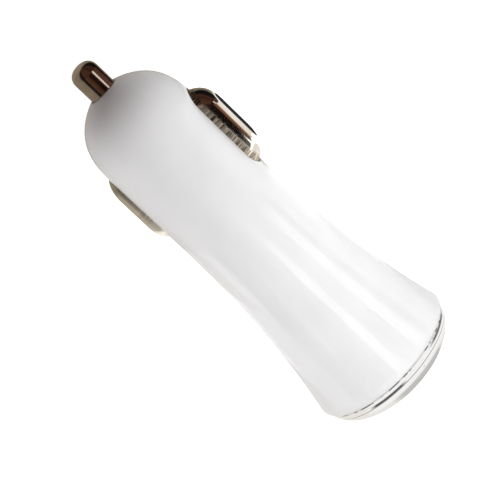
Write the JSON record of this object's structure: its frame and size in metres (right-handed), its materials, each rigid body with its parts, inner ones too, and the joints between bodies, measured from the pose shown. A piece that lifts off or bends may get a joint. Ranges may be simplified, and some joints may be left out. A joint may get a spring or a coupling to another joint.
{
  "type": "car usb charger plug",
  "caption": "Trumpet-shaped white plug for a car socket with sprung centre pin and side contacts, and a USB port in its ringed wide end.",
  "frame": {"origin": "middle of the flat crest of the ring at the wide end, on which the plug stands", "axes": "+Z from the wide end to the centre pin, +X to the side contact that stands further out, +Y to the upper face of the USB port"},
  "size_m": [0.0286, 0.0286, 0.0796],
  "materials": {
    "shell_plastic": "moulded white ABS, glossy",
    "chromed_ring": "chrome-plated ABS",
    "panel_plastic": "moulded white ABS, satin",
    "clear_plastic": "clear moulded rod and lens",
    "nickel_pin": "turned brass, nickel plated",
    "nickel_contact": "drawn steel, nickel plated",
    "spring_steel": "drawn wire, nickel plated",
    "tinned_brass": "tinned strip",
    "carrier_nylon": "moulded nylon",
    "board_laminate": "glass-epoxy board with green mask",
    "receptacle_steel": "folded sheet, nickel plated",
    "tongue_plastic": "moulded insulator",
    "gold_plate": "gold flashed strip",
    "ferrite": "sintered ferrite",
    "copper_wire": "enamelled copper wire",
    "capacitor_sleeve": "shrunk sleeve over an aluminium can",
    "tinned_lead": "tinned wire and strip",
    "black_epoxy": "moulded epoxy",
    "pale_ceramic": "fired ceramic",
    "dark_ceramic": "coated ceramic",
    "tan_ceramic": "fired ceramic"
  },
  "bodies": {
    "housing": {"shell": "shell_plastic", "bezel_ring": "chromed_ring", "face_panel": "panel_plastic", "light_pipe": "clear_plastic", "pin_spring": "spring_steel", "pin_terminal": "tinned_brass", "contact_spring_right": "spring_steel", "contact_spring_left": "spring_steel", "ground_strap": "tinned_brass", "spring_carrier": "carrier_nylon", "circuit_board": "board_laminate", "usb_shell": "receptacle_steel", "usb_tongue": "tongue_plastic", "usb_contacts": "gold_plate", "inductor_core": "ferrite", "inductor_winding": "copper_wire", "input_capacitor": "capacitor_sleeve", "output_capacitor": "capacitor_sleeve", "capacitor_leads": "tinned_lead", "converter_chip": "black_epoxy", "chip_leads": "tinned_lead", "schottky_diode": "black_epoxy", "diode_tabs": "tinned_lead", "chip_fuse": "pale_ceramic", "chip_resistors": "dark_ceramic", "ceramic_capacitors": "tan_ceramic", "indicator_led": "clear_plastic", "led_leads": "tinned_lead"},
    "pin": {"centre_pin": "nickel_pin"},
    "right_contact": {"side_contact_right": "nickel_contact"},
    "left_contact": {"side_contact_left": "nickel_contact"}
  },
  "joints": [
    {"name": "pin_slide", "type": "slide", "parent": "housing", "child": "pin", "axis": [0, 0, -1], "range_m": [0, 0.0025], "stiffness_N_per_m": 500, "springref_m": -0.004, "deforming": ["pin_spring"]},
    {"name": "right_contact_slide", "type": "slide", "parent": "housing", "child": "right_contact", "axis": [-1, 0, 0], "range_m": [0, 0.0026], "stiffness_N_per_m": 400, "springref_m": -0.003, "deforming": ["contact_spring_right"]},
    {"name": "left_contact_slide", "type": "slide", "parent": "housing", "child": "left_contact", "axis": [1, 0, 0], "range_m": [-0.0014, 0.0012], "stiffness_N_per_m": 400, "deforming": ["contact_spring_left"]}
  ]
}
